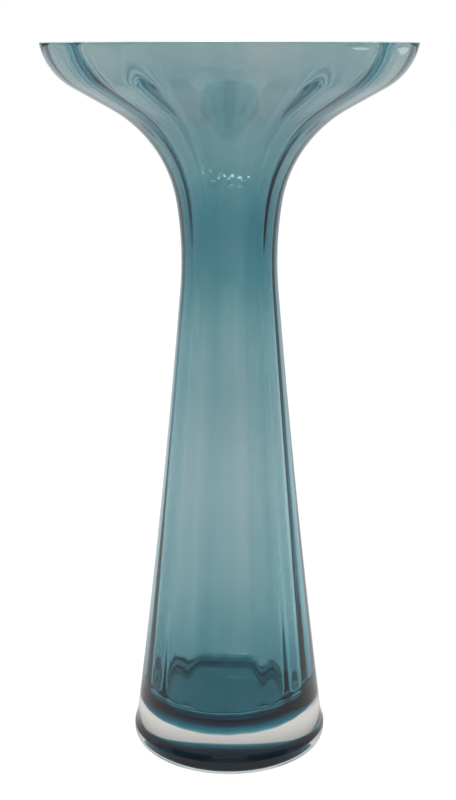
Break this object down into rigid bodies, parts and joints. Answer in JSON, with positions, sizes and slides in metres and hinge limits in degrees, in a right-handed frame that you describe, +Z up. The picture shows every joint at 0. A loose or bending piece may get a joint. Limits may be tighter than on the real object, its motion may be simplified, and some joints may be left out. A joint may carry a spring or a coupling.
{
  "type": "trumpet vase",
  "caption": "Tall trumpet vase of cased glass: wide shallow bowl, narrow neck and long tapering body, a ribbed blue-green lining inside a clear casing with a solid clear foot.",
  "frame": {"origin": "centre of the base, on the plane of its standing ring", "axes": "+Z up the vase towards its rim; the vase is round, and a flute of its optic ribs faces each of X and Y"},
  "size_m": [0.14, 0.14, 0.28],
  "materials": {
    "teal_glass": "transparent grey blue-green glass, fire polished, with soft optic ribs on its inside",
    "clear_glass": "colourless transparent glass, fire polished, rim cut flat and polished"
  },
  "bodies": {
    "root": {"teal_lining": "teal_glass", "clear_casing": "clear_glass"}
  },
  "joints": []
}
